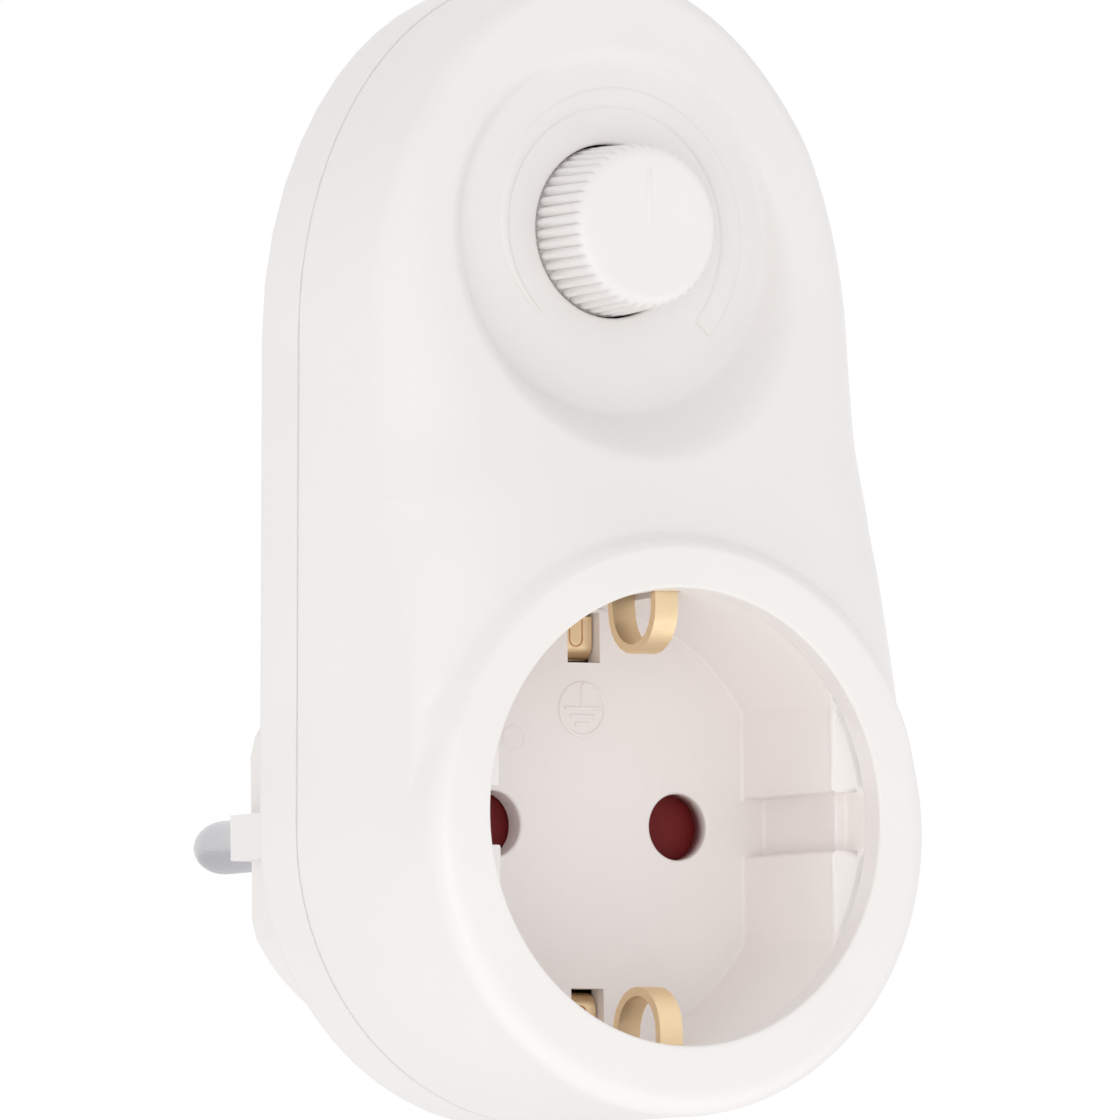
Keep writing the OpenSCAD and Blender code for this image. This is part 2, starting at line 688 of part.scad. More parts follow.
// Sprung bow behind the cup wall and through its window, as [up, h]
bow_steps = 12;
bow_arc_up = bow_up + strip_t / 2 + bow_arc_r;
bow_path = concat(
    [[bow_root, plate_top - strip_t], [bow_root, bow_h - bow_arc_r - 1],
        [bow_root - clear, bow_h - bow_arc_r - clear]],
    [for (k = [0 : bow_steps]) let (t = 180 * k / bow_steps)
        [bow_arc_up - bow_arc_r * sin(t), bow_h - bow_arc_r * cos(t)]],
    [[bow_root - clear, bow_h + bow_arc_r]]);

// Tongue bent out of the plate into the floor slot, as [up, h]
tongue_bend = tongue_h - plate_top;
tongue_path = concat([[plate_low + strip_t / 2, plate_top - strip_t]],
    arc([plate_low + strip_t / 2 + tongue_bend, plate_top - strip_t / 2], tongue_bend, 180, 90, 6),
    [[tongue_end, tongue_h - strip_t / 2]]);

module bent_strip(path, width) rotate([90, 0, 90]) translate([0, 0, -width / 2])
    linear_extrude(width) polygon(strip_outline(path, strip_t));

// Strip along the plug's side, plate behind the floor and bow in the recess
module earth_strip() {
    bent_strip([[strip_up, plug_face_t + clear], [strip_up, plate_top]], strip_w);
    slab([-strip_w / 2, plate_low, plate_top - strip_t], [strip_w / 2, bow_root + strip_t / 2, plate_top]);
    bent_strip(tongue_path, strip_w);
    bent_strip(bow_path, bow_w);
}

module earth_strip_top() color("goldenrod") stand() earth_strip();

module earth_strip_bottom() color("goldenrod") stand() mirror([0, 1, 0]) earth_strip();

// Half ring on the carrier's flange, from one earth strip to the other
module earth_bridge() color("goldenrod") stand() intersection() {
    difference() {
        rod(strip_up - strip_t / 2 - running, flange_top, flange_top + strip_t);
        rod(carrier_r + 2 * slip, flange_top - over, flange_top + strip_t + over);
    }
    slab([-strip_w / 2, -insert_r, flange_top], [insert_r, insert_r, flange_top + strip_t]);
}

module rib_plan() {
    step = 360 / knob_ribs;
    land = 0.16;
    polygon([for (k = [0 : knob_ribs - 1]) each [
        knob_r * [cos((k - land) * step), sin((k - land) * step)],
        knob_r * [cos((k + land) * step), sin((k + land) * step)],
        (knob_r - rib_cut) * [cos((k + 0.5) * step), sin((k + 0.5) * step)]]]);
}

module shaft_plan(r) intersection() {
    circle(r = r);
    translate([-2 * r, -2 * r]) square([4 * r, 2 * r + shaft_flat + r - shaft_r]);
}

// Knob: a ribbed prism inside a tapered, rounded cap, hollow behind, with a flatted hub
module dimmer_knob() color("whitesmoke") stand() translate([0, knob_up, 0]) difference() {
    foot_r = knob_r + running;
    cap = arc([cap_r - cap_edge_r, knob_top - cap_edge_r], cap_edge_r, 0, 90);
    bore_low = knob_foot - over;
    intersection() {
        translate([0, 0, knob_foot]) linear_extrude(knob_top - knob_foot) rib_plan();
        rotate_extrude()
            polygon(concat([[0, knob_foot], [foot_r, knob_foot], [foot_r, dish_h]], cap, [[0, knob_top]]));
    }
    difference() {
        rod(knob_r - rib_cut - knob_wall, knob_foot - over, knob_top - knob_roof);
        rod(knob_hub_r, knob_foot, knob_top);
    }
    translate([0, 0, bore_low]) linear_extrude(shaft_top + slip - bore_low) shaft_plan(shaft_r + slip);
}

module pot_shaft() color("silver") stand() translate([0, knob_up, 0]) {
    translate([0, 0, wiper_top - slip]) linear_extrude(shaft_top - wiper_top + slip) shaft_plan(shaft_r);
    rod(wiper_r, wiper_low, wiper_top);
}

module pot_housing() color("dimgray") stand() translate([0, knob_up, 0]) difference() {
    step = 0.6;
    bush_r = shaft_r + 1.1;
    union() {
        rod(pot_r, board_top, pot_top - step);
        rod(pot_r - step, board_top, pot_top);
        rod(bush_r, board_top, pot_top + step);
        slab([-pot_block_x / 2, -pot_r - pot_block_y, board_top],
            [pot_block_x / 2, 0, board_top + pot_block_t]);
    }
    rod(shaft_r + running, wiper_top - over, pot_top + over);
    rod(wiper_r + running, wiper_low - 2 * slip, wiper_top + 2 * slip);
}

// Bent terminals from the potentiometer's block into the board
module at_terminals() for (k = [-1, 0, 1]) translate([k * terminal_gap, terminal_up, 0]) children();

module pot_terminals() color("silver") stand() at_terminals() {
    top = board_top + pot_block_t - 0.5;
    rod(2 * leg_r, board_h, top);
    slab([-leg_r, 0, top - 2 * leg_r], [leg_r, knob_up - pot_r - pot_block_y - terminal_up, top]);
}

module circuit_board() color("darkgreen") stand() difference() {
    translate([0, 0, board_h]) linear_extrude(board_t) intersection() {
        translate([-board_x, board_low]) square([2 * board_x, board_high - board_low]);
        polygon([for (s = spokes) rim(s, board_inset)]);
    }
    for (p = post_places) translate(p) rod(board_screw_r + 2 * slip, board_h - over, board_top + over);
    at_terminals() rod(2 * leg_r + slip, board_h - over, board_top + over);
}

// Triac lying on the heatsink, with its tab and its legs bent to the board
module triac() color("black") stand() translate(triac_at) {
    low = sink_h + sink_t;
    tab_hole_r = 1.8;
    leg_w = 0.8;
    leg_len = 3 * leg_w;
    leg_gap = 2.54;
    leg_h = board_h - 2.2;
    block(triac_x, triac_y, low, board_h - 2 * clear);
    translate([0, (triac_y + tab_y) / 2 - slip, 0]) difference() {
        block(triac_x, tab_y, low, low + tab_t);
        rod(tab_hole_r, low - over, low + tab_t + over);
    }
    for (k = [-1, 0, 1]) translate([leg_gap * k, (leg_w - triac_y - leg_len) / 2, 0]) {
        block(leg_w, leg_len, leg_h, leg_h + leg_w);
        translate([0, -leg_w, 0]) block(leg_w, leg_w, leg_h, board_h);
    }
}

// Angle of sheet metal with a notched upright side
sink_at = [triac_at[0] - triac_x / 2 - clear - sink_t, sink_low];
module heatsink() color("silver") stand() translate(sink_at) {
    notch = 1.6;
    slab([0, 0, sink_h], [sink_x, sink_y, sink_h + sink_t]);
    difference() {
        slab([0, 0, sink_h], [sink_t, sink_y, board_h - 3 * clear]);
        for (k = [1 : 3]) translate([0, sink_y * k / 4 - notch / 2, 0])
            slab([-over, 0, sink_h + sink_t + 1], [2 * sink_t, notch, board_h]);
    }
}

module choke_core() color("dimgray") stand() translate(concat(core_at, core_axis)) rotate([90, 0, 0])
    translate([0, 0, -core_len / 2]) cylinder(r = core_r, h = core_len);

module choke_winding() {
    turns = floor((core_len - 5) / wind_pitch);
    half = turns * wind_pitch / 2;
    bump_r = wind_pitch / 2;
    inner_r = core_r + running;
    bumps = [for (k = [0 : turns - 1]) each [for (t = [180 : -36 : 36])
        [wind_r - bump_r + bump_r * sin(t), wind_pitch * (k + 0.5) - half + bump_r * cos(t)]]];
    color("peru") stand() translate(concat(core_at, core_axis)) rotate([90, 0, 0]) rotate_extrude()
        polygon(concat([[inner_r, -half]], bumps, [[wind_r - bump_r, half], [inner_r, half]]));
}

// Box capacitors seated against the back of the board
module film_capacitor() color("darkred") stand() translate(film_at)
    block(film_x, film_y, tray_h + 2 * clear, board_h);

module timing_capacitor() color("gold") stand() translate(timing_at)
    block(timing_x, timing_y, tray_h + 4 * clear, board_h);

// Axial part lying along x behind the board, with its leads bent up to the board
module axial(at, r, length) translate(at) {
    axis = board_h - r - clear;
    foot_x = length / 2 + 0.9;
    translate([0, 0, axis]) rotate([0, 90, 0]) translate([0, 0, -length / 2]) children();
    for (s = [-1, 1]) {
        translate([0, 0, axis]) rotate([0, s * 90, 0]) cylinder(r = leg_r, h = foot_x + leg_r);
        translate([s * foot_x, 0, 0]) rod(leg_r, axis, board_h);
    }
}

// Resistor body with its thicker ends
module bead(r, length) {
    waist = 0.85 * r;
    rotate_extrude() polygon([[0, 0], [waist, 0], [r, 0.2 * r], [r, 0.22 * length], [waist, 0.3 * length],
        [waist, 0.7 * length], [r, 0.78 * length], [r, length - 0.2 * r], [waist, length], [0, length]]);
}

module diac() color("steelblue") stand() axial(diac_at, diac_r, diac_len) cylinder(r = diac_r, h = diac_len);

module resistors() color("tan") stand() for (p = resistor_places)
    axial(p, resistor_r, resistor_len) bead(resistor_r, resistor_len);

module fuse_tube() {
    glass_r = fuse_r - fuse_cap_t - running;
    half = fuse_len / 2 - clear;
    color("lightcyan") stand() translate([0, fuse_up, fuse_axis]) rotate([0, 90, 0]) difference() {
        rod(glass_r, -half, half);
        rod(glass_r - fuse_wall, 2 * clear - half, half - 2 * clear);
    }
}

module fuse_caps() color("silver") stand() for (s = [-1, 1])
    translate([0, fuse_up, fuse_axis]) rotate([0, s * 90, 0]) difference() {
        rod(fuse_r, fuse_len / 2 - fuse_cap_len, fuse_len / 2);
        rod(fuse_r - fuse_cap_t, fuse_len / 2 - fuse_cap_len - over, fuse_len / 2 - clear + running);
    }

module fuse_clips() color("gainsboro") stand() for (s = [-1, 1])
    translate([s * (fuse_len / 2 - fuse_cap_len / 2), fuse_up, 0]) difference() {
        block(clip_w, 2 * (fuse_r + fuse_wall), fuse_axis - 0.4 * fuse_r, board_h);
        translate([0, 0, fuse_axis]) rotate([0, 90, 0]) rod(fuse_r + running, -clip_w, clip_w);
    }

// The last stretch of a lead, past the insert and up to its place on the board
function to_board(end) = [[end[0], insert_r, lead_bend + 0.6], [end[0], end[1] - 3, lead_bend + 1.4],
    concat(end, board_h - 2), concat(end, board_h - clear)];

module line_wire() color("saddlebrown") stand() tube(spline(concat([
    concat(line_from, lug_h + lug_t / 2), concat(line_from, lug_h + 3), concat(line_from, tray_h - 3),
    concat(line_from, tray_h + 0.4), concat(line_from + [-0.1, 2.2], lead_bend)], to_board(board_ends[0]))),
    lead_r, 8, [1, 0, 0]);

module load_wire() color("royalblue") stand() tube(spline(concat([
    concat(load_to, load_h + lug_t / 2), concat(load_to + [0, 2], load_h + 0.6)], to_board(board_ends[1]))),
    lead_r, 8, [1, 0, 0]);

// Pan-head screw with a cross recess, drawn with its head down at h = 0
module screw(head_r, head_t, shank_r, length) difference() {
    union() {
        translate([0, 0, -head_t]) cylinder(r1 = 0.8 * head_r, r2 = head_r, h = head_t);
        cylinder(r = shank_r, h = length);
    }
    for (a = [0, 90]) rotate([0, 0, a]) block(1.3 * head_r, 0.3 * head_r, -head_t - over, -0.5 * head_t);
}

module housing_screws() color("silver") stand() for (p = screw_places) translate(concat(p, screw_seat))
    screw(screw_head_r, screw_head_t, screw_shank_r, screw_tip - screw_seat);

module board_screws() color("silver") stand() for (p = post_places)
    translate(concat(p, board_top)) rotate([180, 0, 0])
        screw(board_head_r, board_head_t, board_screw_r, board_top - tray_h - 1.5);

front_shell();
rear_shell();
socket_insert();
child_shutter();
shutter_spring();
contact_carrier();
line_contact();
neutral_contact();
plug_pin_line();
plug_pin_neutral();
earth_strip_top();
earth_strip_bottom();
earth_bridge();
dimmer_knob();
pot_shaft();
pot_housing();
pot_terminals();
circuit_board();
triac();
heatsink();
choke_core();
choke_winding();
film_capacitor();
timing_capacitor();
diac();
resistors();
fuse_tube();
fuse_caps();
fuse_clips();
line_wire();
load_wire();
housing_screws();
board_screws();
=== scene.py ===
# Looks of the plug-in dimmer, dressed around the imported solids
import bpy
import bmesh
import json
import math
from mathutils import Matrix, Vector


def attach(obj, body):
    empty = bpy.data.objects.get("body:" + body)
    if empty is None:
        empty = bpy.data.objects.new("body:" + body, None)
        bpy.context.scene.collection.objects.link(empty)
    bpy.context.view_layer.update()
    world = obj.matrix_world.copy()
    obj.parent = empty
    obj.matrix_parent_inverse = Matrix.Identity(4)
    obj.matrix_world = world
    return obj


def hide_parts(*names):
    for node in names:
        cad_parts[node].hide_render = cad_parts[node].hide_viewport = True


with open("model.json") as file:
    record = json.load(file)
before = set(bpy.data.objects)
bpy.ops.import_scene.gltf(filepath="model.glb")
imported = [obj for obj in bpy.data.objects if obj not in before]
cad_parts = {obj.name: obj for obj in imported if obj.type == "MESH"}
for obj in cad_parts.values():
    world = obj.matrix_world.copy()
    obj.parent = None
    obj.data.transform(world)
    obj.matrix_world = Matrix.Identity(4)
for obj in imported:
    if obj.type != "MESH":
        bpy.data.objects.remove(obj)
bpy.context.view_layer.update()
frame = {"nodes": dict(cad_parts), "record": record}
mm = 0.001


# finishes

def newFinish(name):
    finish = bpy.data.materials.new(name)
    finish.use_nodes = True
    nodes, links = finish.node_tree.nodes, finish.node_tree.links
    shader = nodes["Principled BSDF"]
    place = nodes.new("ShaderNodeTexCoord").outputs["Object"]
    return finish, nodes, links, shader, place


def noiseOn(nodes, links, place, scale, detail=3.0):
    noise = nodes.new("ShaderNodeTexNoise")
    noise.inputs["Scale"].default_value = scale
    noise.inputs["Detail"].default_value = detail
    links.new(place, noise.inputs["Vector"])
    return noise.outputs["Fac"]


# the range that most values of a noise fall in
noiseLow, noiseHigh = 0.3, 0.7


def spread(nodes, links, value, low, high):
    ranged = nodes.new("ShaderNodeMapRange")
    ranged.inputs["From Min"].default_value = noiseLow
    ranged.inputs["From Max"].default_value = noiseHigh
    ranged.inputs["To Min"].default_value = low
    ranged.inputs["To Max"].default_value = high
    links.new(value, ranged.inputs["Value"])
    return ranged.outputs["Result"]


def tinted(nodes, links, value, dark, light):
    ramp = nodes.new("ShaderNodeValToRGB")
    ramp.color_ramp.elements[0].position = noiseLow
    ramp.color_ramp.elements[1].position = noiseHigh
    ramp.color_ramp.elements[0].color = (*dark, 1)
    ramp.color_ramp.elements[1].color = (*light, 1)
    links.new(value, ramp.inputs["Fac"])
    return ramp.outputs["Color"]


def bumped(nodes, links, value, shader, strength, distance):
    bump = nodes.new("ShaderNodeBump")
    bump.inputs["Strength"].default_value = strength
    bump.inputs["Distance"].default_value = distance
    links.new(value, bump.inputs["Height"])
    links.new(bump.outputs["Normal"], shader.inputs["Normal"])


# moulded plastic: faint cloudy tint, gloss that varies, fine orange peel
moulding = dict(cloudScale=55, glossScale=140, sleek=0.03, dull=0.04, peelScale=1400, peelDetail=2,
                peelDepth=0.0004)


def mouldedPlastic(name, colour, rough, peel=0.06, cloud=0.012, ior=1.5):
    m = moulding
    finish, nodes, links, shader, place = newFinish(name)
    dark = tuple(c * (1 - cloud) for c in colour)
    light = tuple(min(1, c * (1 + cloud)) for c in colour)
    clouds = noiseOn(nodes, links, place, m["cloudScale"])
    links.new(tinted(nodes, links, clouds, dark, light), shader.inputs["Base Color"])
    patches = noiseOn(nodes, links, place, m["glossScale"])
    gloss = spread(nodes, links, patches, rough - m["sleek"], rough + m["dull"])
    links.new(gloss, shader.inputs["Roughness"])
    skin = noiseOn(nodes, links, place, m["peelScale"], m["peelDetail"])
    bumped(nodes, links, skin, shader, peel, m["peelDepth"])
    shader.inputs["IOR"].default_value = ior
    return finish


# rolled or turned metal: streaks along one axis, softly uneven gloss
working = dict(grainScale=900, tarnishScale=160, sleek=0.07, dull=0.08, grainDepth=0.0002)


def workedMetal(name, colour, rough, streak=(1, 1, 1), tarnish=0.12, relief=0.15):
    w = working
    finish, nodes, links, shader, place = newFinish(name)
    turn = nodes.new("ShaderNodeMapping")
    turn.inputs["Scale"].default_value = streak
    links.new(place, turn.inputs["Vector"])
    grain = noiseOn(nodes, links, turn.outputs["Vector"], w["grainScale"])
    dark = tuple(c * (1 - tarnish) for c in colour)
    stains = noiseOn(nodes, links, place, w["tarnishScale"])
    links.new(tinted(nodes, links, stains, dark, colour), shader.inputs["Base Color"])
    gloss = spread(nodes, links, grain, rough - w["sleek"], rough + w["dull"])
    links.new(gloss, shader.inputs["Roughness"])
    bumped(nodes, links, grain, shader, relief, w["grainDepth"])
    shader.inputs["Metallic"].default_value = 1
    return finish


finishes = {
    "white_gloss": mouldedPlastic("bodyWhite", (0.868, 0.836, 0.814), 0.34),
    "white_knob": mouldedPlastic("knobWhite", (0.875, 0.85, 0.835), 0.36),
    # the recess insert's own matte white, set lighter than the shell's white: painted light for the deep
    # recess, which the lamps reach too little
    "white_matte": mouldedPlastic("recessWhiteAndPaintedLight", (0.914, 0.864, 0.842), 0.45, peel=0.10),
    "shutter_red": mouldedPlastic("shutterMaroon", (0.178, 0.0135, 0.0145), 0.5, peel=0.1, cloud=0.08,
                                  ior=1.3),
    "ivory_plastic": mouldedPlastic("carrierIvory", (0.72, 0.68, 0.55), 0.5),
    "dark_plastic": mouldedPlastic("darkMoulding", (0.03, 0.03, 0.033), 0.5, cloud=0.1),
    "board": mouldedPlastic("boardLacquer", (0.03, 0.16, 0.06), 0.35, peel=0.2, cloud=0.15),
    "ferrite": mouldedPlastic("ferriteGrey", (0.05, 0.05, 0.055), 0.6, peel=0.3, cloud=0.15),
    "capacitor_red": mouldedPlastic("capacitorRed", (0.30, 0.05, 0.04), 0.3, cloud=0.06),
    "capacitor_yellow": mouldedPlastic("capacitorYellow", (0.62, 0.42, 0.06), 0.35, cloud=0.05),
    "diac_blue": mouldedPlastic("diacBlue", (0.05, 0.13, 0.30), 0.3, cloud=0.05),
    "resistor_tan": mouldedPlastic("resistorTan", (0.52, 0.36, 0.20), 0.5, cloud=0.08),
    "lead_brown": mouldedPlastic("leadBrown", (0.13, 0.06, 0.03), 0.5, cloud=0.06),
    "lead_blue": mouldedPlastic("leadBlue", (0.03, 0.07, 0.30), 0.5, cloud=0.06),
    "brass": workedMetal("rolledBrass", (0.90, 0.705, 0.45), 0.46, (1, 3, 3), 0.06, 0.06),
    "pin_metal": workedMetal("pinNickel", (0.60, 0.59, 0.61), 0.24, (6, 1, 6), 0.06),
    "steel": workedMetal("zincSteel", (0.62, 0.62, 0.63), 0.35),
    "aluminium": workedMetal("sheetAluminium", (0.75, 0.76, 0.77), 0.38, (1, 1, 8)),
    "copper": workedMetal("enamelledCopper", (0.66, 0.32, 0.16), 0.3),
}


# clear glass with a faint haze
def clearGlass(name, ior=1.5, hazeScale=300, clear=0.02, hazy=0.06):
    finish, nodes, links, shader, place = newFinish(name)
    shader.inputs["Transmission Weight"].default_value = 1
    shader.inputs["IOR"].default_value = ior
    haze = noiseOn(nodes, links, place, hazeScale)
    links.new(spread(nodes, links, haze, clear, hazy), shader.inputs["Roughness"])
    return finish


finishes["fuse_glass"] = clearGlass("fuseGlass")

slotOf = {row["node"]: row["material_slot"] for row in frame["record"]["subparts"]}
for node, solid in frame["nodes"].items():
    solid.data.materials.clear()
    solid.data.materials.append(finishes[slotOf[node]])
print("finishes set on", len(slotOf), "solids")


# helpers for new pieces

def finishPiece(name, bm, node, body, slot=None, sharp=35.0, keepNode=False):
    mesh = bpy.data.meshes.new(name)
    bm.to_mesh(mesh)
    bm.free()
    mesh.shade_smooth()
    mesh.set_sharp_from_angle(angle=math.radians(sharp))
    piece = bpy.data.objects.new(name, mesh)
    bpy.context.scene.collection.objects.link(piece)
    slot = slot or slotOf[node]
    mesh.materials.append(finishes[slot])
    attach(piece, body)
    if not keepNode:
        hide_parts(node)
    return piece


softening = dict(merge=0.002, flat=0.6, crisp=30.0, sharp=40.0)


# a solid's own shape with merged faces and softened edges, all of them or those that are picked
def softCopy(node, name, body, width, segments=2, picked=None):
    s = softening
    bm = bmesh.new()
    bm.from_mesh(frame["nodes"][node].data)
    bmesh.ops.remove_doubles(bm, verts=bm.verts, dist=s["merge"] * mm)
    bmesh.ops.dissolve_limit(bm, angle_limit=math.radians(s["flat"]), verts=bm.verts, edges=bm.edges)
    if width:
        crisp = [e for e in bm.edges if e.is_manifold and e.calc_face_angle(0) > math.radians(s["crisp"])
                 and (picked is None or picked((e.verts[0].co + e.verts[1].co) / (2 * mm)))]
        bmesh.ops.bevel(bm, geom=crisp, offset=width * mm, offset_type="OFFSET", affect="EDGES",
                        segments=segments, profile=0.5, material=-1, clamp_overlap=picked is None,
                        harden_normals=False)
    bmesh.ops.triangulate(bm, faces=[f for f in bm.faces if len(f.verts) > 4])
    piece = finishPiece(name, bm, node, body, sharp=s["sharp"])
    even = piece.modifiers.new("evenShade", "WEIGHTED_NORMAL")
    even.keep_sharp = True
    return piece


def newVerts(grown):
    return [g for g in grown if isinstance(g, bmesh.types.BMVert)]


# each edge of some points once, in a steady order
def edgesOf(verts):
    return list(dict.fromkeys(e for v in verts for e in v.link_edges))


# rings of points, each grown from the last by extruding its edges
def growRings(bm, spoke, rings):
    start = bmesh.ops.create_circle(bm, segments=len(rings[0]), radius=1)["verts"]
    for i, v in enumerate(start):
        v[spoke] = i
        v.co = rings[0][i]
    edges = edgesOf(start)
    for ring in rings[1:]:
        grown = bmesh.ops.extrude_edge_only(bm, edges=edges)["geom"]
        fresh = set(newVerts(grown))
        for v in fresh:
            v.co = ring[v[spoke]]
        edges = [g for g in grown if isinstance(g, bmesh.types.BMEdge) and fresh.issuperset(g.verts)]
    return edges


def arc(cx, cy, r, a, b, steps):
    turns = [math.radians(a + (b - a) * k / steps) for k in range(steps + 1)]
    return [(cx + r * math.cos(t), cy + r * math.sin(t)) for t in turns]


# front shell: two fans of rings, one round the socket and one round the knob, meet between them
shell = dict(footR=25.2, footDrop=0.9, topR=24.5, topUp=42.0, topRise=32.7, partH=24.025,
             faceH=45.1, topH=36.8, sweepUp=25.0, sweepSoft=1.5, footEdge=3.0, faceEdge=7.5, topEdge=1.6,
             edgeFoot=11.0, edgeFrom=33.0, edgeTo=60.0, draft=0.4, rimInset=0.1, groove=0.1,
             grooveShare=0.6, grooveTurn=0.3, sideSteps=5, rimReach=1.0,
             collarH=47.8, collarR=24.9, collarEdge=2.0, fillet=1.5, filletShare=0.6, soft=0.9, softShare=0.7,
             mouthR=19.73, mouthEdge=0.3, lipR=19.665, lipH=45.52, lipStep=0.06, mouthStep=0.9,
             brow=((20.9, 0.2), (21.8, 0.6)), swell=1.5, swellReach=7.0, swellX=24.0, swellFade=7.0,
             knobUp=51.5, dishUp=51.0, dishR=15.5, dishH=36.4, dishFlare=0.6, dishRim=1.4, dishFoot=0.6,
             floorRings=(9.2, 11.2, 13.0), rimRings=14, rimStep=0.5,
             holeR=7.6, holeH=34.4, holeEdge=0.3, holeWall=0.9,
             meetUp=27.2, meetRise=0.2, near=0.01, thin=0.02, far=1000, rayReach=60, faceRings=12,
             meetSpokes=40, socketSpokes=168, upperSpokes=96, merge=0.004, sharp=70, wall=1.2)
lean = math.atan((shell["footR"] - shell["topR"]) / (shell["topUp"] + shell["footDrop"]))


def topPoint(a):
    reach = math.hypot(shell["topR"] * math.cos(a), shell["topRise"] * math.sin(a))
    return (shell["topR"] ** 2 * math.cos(a) / reach,
            shell["topUp"] + shell["topRise"] ** 2 * math.sin(a) / reach)


# steps of a search by halves
halvings = 40


# inset from the outline, the angle of the outline's normal there, and the side of the middle
def outlineAt(x, up):
    side = 1 if x >= 0 else -1
    x = abs(x)
    down = up + shell["footDrop"]
    turn = math.atan2(down, x)
    n = (math.cos(lean), math.sin(lean))
    tx, tu = topPoint(lean)
    if turn <= lean:
        return shell["footR"] - math.hypot(x, down), turn, side
    if (x - tx) * -n[1] + (up - tu) * n[0] <= 0:
        return shell["footR"] - (x * n[0] + down * n[1]), lean, side
    low, high = lean, math.pi / 2
    for k in range(halvings):
        a = (low + high) / 2
        px, pu = topPoint(a)
        if (x - px) * -math.sin(a) + (up - pu) * math.cos(a) > 0:
            low = a
        else:
            high = a
    px, pu = topPoint(low)
    return (px - x) * math.cos(low) + (pu - up) * math.sin(low), low, side


def smoothMin(a, b, k):
    t = max(0, min(1, 0.5 + 0.5 * (b - a) / k))
    return b + (a - b) * t - k * t * (1 - t)


# height of the face: level beside the collar, then sweeping back to the top
def crown(up):
    s = shell
    top = s["topUp"] + s["topRise"]
    swept = s["topH"] + (s["faceH"] - s["topH"]) * (max(0, top - up) / (top - s["sweepUp"])) ** 2
    return smoothMin(s["faceH"], swept, s["sweepSoft"])


# rounding of the face's edge, tighter towards the foot and the top
def edgeAt(up):
    s = shell
    high = max(0, min(1, (up - s["edgeFrom"]) / (s["edgeTo"] - s["edgeFrom"])))
    low = max(0, min(1, (s["sweepUp"] - up) / (s["sweepUp"] - s["edgeFoot"])))
    return s["faceEdge"] + (s["topEdge"] - s["faceEdge"]) * high + (s["footEdge"] - s["faceEdge"]) * low


# the face swells a little towards the collar, but not at the outline
def swell(x, up):
    s = shell
    far = max(0, min(1, (math.hypot(x, up + s["footDrop"]) - s["collarR"]) / s["swellReach"]))
    side = max(0, min(1, (s["swellX"] - abs(x)) / s["swellFade"]))
    return s["swell"] * (1 - far) ** 2 * side * side * (3 - 2 * side)


def skinH(x, up):
    inset, turn = outlineAt(x, up)[:2]
    edge = edgeAt(up + inset * math.sin(turn))
    c = min(1, max(0, 1 - (inset - shell["draft"]) / edge))
    return crown(up) + swell(x, up) - edge * (1 - math.sqrt(1 - c * c))


# distance from a centre to the outline's inset line, along a turn
def rayEnd(cu, turn, inset):
    low, high = 0, shell["rayReach"]
    for k in range(halvings):
        r = (low + high) / 2
        if outlineAt(r * math.cos(turn), cu + r * math.sin(turn))[0] > inset:
            low = r
        else:
            high = r
    return low


def at(x, up, h):
    return Vector((x * mm, -h * mm, up * mm))


def easedEnds(n):
    return [(1 - math.cos(math.pi * k / n)) / 2 for k in range(n + 1)]


# end of a spoke round the socket: those that meet the other fan end on a level line
def socketEnd(turn):
    s = shell
    cu = -s["footDrop"]
    rise = math.sin(turn)
    toMeet = (s["meetUp"] - cu) / rise if rise > s["meetRise"] else s["far"]
    toRim = rayEnd(cu, turn, s["draft"])
    return min(toMeet, max(toRim, s["collarR"])), toMeet < toRim - s["near"]


def socketSpoke(turn):
    s = shell
    cu = -s["footDrop"]
    c, n = math.cos(turn), math.sin(turn)
    points = [(s["lipR"], 0, s["lipH"]), (s["lipR"], 0, s["lipH"] + s["lipStep"]),
              (s["mouthR"], 0, s["lipH"] + s["mouthStep"])]
    flare = arc(s["mouthR"] + s["mouthEdge"], s["collarH"] - s["mouthEdge"], s["mouthEdge"], 180, 90, 4)
    points += [(r, 0, h) for r, h in flare]
    points += [(r, drop * cu, s["collarH"]) for r, drop in s["brow"]]
    edge = arc(s["collarR"] - s["collarEdge"], s["collarH"] - s["collarEdge"], s["collarEdge"], 90, 0, 6)
    end, meets = socketEnd(turn)
    rimH = crown(cu + end * n) - edgeAt(cu + end * n)
    foot = max(rimH, skinH(s["collarR"] * c, cu + s["collarR"] * n))
    top = s["collarH"] - s["collarEdge"]
    size = min(s["fillet"], s["filletShare"] * (end - s["collarR"]), s["filletShare"] * (top - foot))
    for k in (1, 2):
        edge.append((s["collarR"], top + (foot + size - top) * k / 2))
    out = s["collarR"] + size
    outH = foot if end - out < s["thin"] else skinH(out * c, cu + out * n)
    for k in (1, 2, 3, 4):
        t = k / 4
        r = s["collarR"] * (1 - t * t) + out * t * t
        edge.append((r, (foot + size) * (1 - t) ** 2 + foot * 2 * t * (1 - t) + outH * t * t))
    # where the face is wide the edge turns into a soft step
    reach = min(s["soft"], s["softShare"] * (end - s["collarR"]))
    share = reach / s["soft"]
    for k, (r, h) in enumerate(edge):
        t = k / (len(edge) - 1)
        stepR = s["collarR"] - s["soft"] + (s["soft"] + reach) * t
        step = skinH(stepR * c, cu + stepR * n)
        step += (s["collarH"] - step) * (1 - t * t * (3 - 2 * t))
        points.append((r + (stepR - r) * share, cu, h + (step - h) * share))
    out = points[-1][0]
    for e in easedEnds(s["faceRings"])[1:]:
        r = out + (end - out) * e
        h = skinH(r * c, cu + r * n)
        if e == 1 and not meets:
            h = rimH
        points.append((r, cu, h if end - out > s["thin"] else foot + (rimH - foot) * e))
    return [at(r * c, u + r * n, h) for r, u, h in points]


def dishH(r):
    s = shell
    return -smoothMin(-s["dishH"], -(s["dishH"] + (r - s["dishR"]) / s["dishFlare"]), s["dishFoot"])


